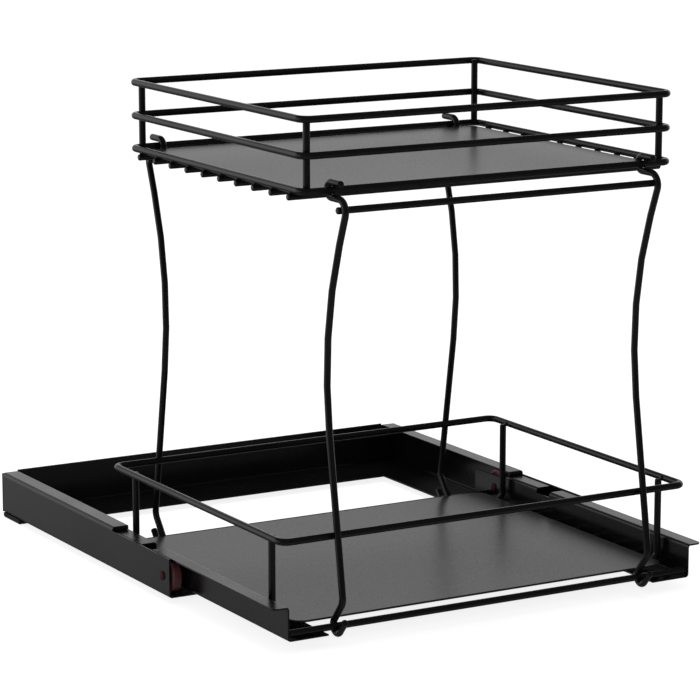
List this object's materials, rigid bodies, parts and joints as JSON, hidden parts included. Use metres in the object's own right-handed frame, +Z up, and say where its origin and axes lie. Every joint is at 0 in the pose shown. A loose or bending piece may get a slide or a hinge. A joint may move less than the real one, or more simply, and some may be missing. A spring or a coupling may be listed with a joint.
{
  "type": "two-tier pull-out cabinet organizer",
  "caption": "Pull-out organizer with a sheet-steel slide base, a rimmed lower wire shelf and a wire basket hooked on bent-wire legs above it.",
  "frame": {"origin": "on the floor, below the middle of the box that the pulled-out organizer fills", "axes": "+Z up, +Y from the front to the rear panel, +X to the right seen from the front"},
  "size_m": [0.3624, 0.4508, 0.3622],
  "materials": {
    "black_powder_coat": "satin black powder coat on steel",
    "grey_liner": "fine-grained dark grey plastic sheet, low sheen",
    "roller_nylon": "moulded nylon, dark red-brown",
    "rivet_coat": "dark red-brown coated steel rivet",
    "foot_rubber": "matt black"
  },
  "bodies": {
    "base": {"left_channel": "black_powder_coat", "right_channel": "black_powder_coat", "rear_panel": "black_powder_coat", "rear_left_foot": "foot_rubber", "rear_right_foot": "foot_rubber", "front_left_foot": "foot_rubber", "front_right_foot": "foot_rubber", "front_axle_left": "rivet_coat", "front_axle_right": "rivet_coat"},
    "tray": {"left_rail": "black_powder_coat", "right_rail": "black_powder_coat", "rear_axle_left": "rivet_coat", "rear_axle_right": "rivet_coat", "front_bar": "black_powder_coat", "rear_bar": "black_powder_coat", "lower_front_post_wire": "black_powder_coat", "lower_rear_post_wire": "black_powder_coat", "lower_cross_wire_1": "black_powder_coat", "lower_cross_wire_2": "black_powder_coat", "lower_cross_wire_3": "black_powder_coat", "lower_cross_wire_4": "black_powder_coat", "lower_cross_wire_5": "black_powder_coat", "lower_cross_wire_6": "black_powder_coat", "lower_cross_wire_7": "black_powder_coat", "lower_rim": "black_powder_coat", "lower_liner": "grey_liner", "front_left_leg": "black_powder_coat", "front_right_leg": "black_powder_coat", "rear_left_leg": "black_powder_coat", "rear_right_leg": "black_powder_coat", "front_leg_crossbar": "black_powder_coat", "rear_leg_crossbar": "black_powder_coat", "upper_bottom_rim": "black_powder_coat", "upper_middle_rim": "black_powder_coat", "upper_top_rim": "black_powder_coat", "upper_post_front_left": "black_powder_coat", "upper_post_front_right": "black_powder_coat", "upper_post_rear_left": "black_powder_coat", "upper_post_rear_right": "black_powder_coat", "upper_cross_wire_1": "black_powder_coat", "upper_cross_wire_2": "black_powder_coat", "upper_cross_wire_3": "black_powder_coat", "upper_cross_wire_4": "black_powder_coat", "upper_cross_wire_5": "black_powder_coat", "upper_cross_wire_6": "black_powder_coat", "upper_cross_wire_7": "black_powder_coat", "upper_cross_wire_8": "black_powder_coat", "upper_cross_wire_9": "black_powder_coat", "upper_cross_wire_10": "black_powder_coat", "upper_liner": "grey_liner"},
    "front_roller_left": {"front_roller_left": "roller_nylon"},
    "front_roller_right": {"front_roller_right": "roller_nylon"},
    "rear_roller_left": {"rear_roller_left": "roller_nylon"},
    "rear_roller_right": {"rear_roller_right": "roller_nylon"}
  },
  "joints": [
    {"name": "tray_slide", "type": "slide", "parent": "base", "child": "tray", "axis": [0, 1, 0], "range_m": [0, 0.148]},
    {"name": "front_roller_left_spin", "type": "hinge", "parent": "base", "child": "front_roller_left", "pos_m": [-0.173, -0.05441, 0.01855], "axis": [1, 0, 0], "continuous": true},
    {"name": "front_roller_right_spin", "type": "hinge", "parent": "base", "child": "front_roller_right", "pos_m": [0.173, -0.05441, 0.01855], "axis": [1, 0, 0], "continuous": true},
    {"name": "rear_roller_left_spin", "type": "hinge", "parent": "tray", "child": "rear_roller_left", "pos_m": [-0.1709, 0.04549, 0.02], "axis": [1, 0, 0], "continuous": true},
    {"name": "rear_roller_right_spin", "type": "hinge", "parent": "tray", "child": "rear_roller_right", "pos_m": [0.1709, 0.04549, 0.02], "axis": [1, 0, 0], "continuous": true}
  ],
  "couplings": [
    {"joint": "front_roller_left_spin", "follows": "tray_slide", "rad_per_m": -80.321},
    {"joint": "front_roller_right_spin", "follows": "tray_slide", "rad_per_m": -80.321},
    {"joint": "rear_roller_left_spin", "follows": "tray_slide", "rad_per_m": -69.444},
    {"joint": "rear_roller_right_spin", "follows": "tray_slide", "rad_per_m": -69.444}
  ]
}
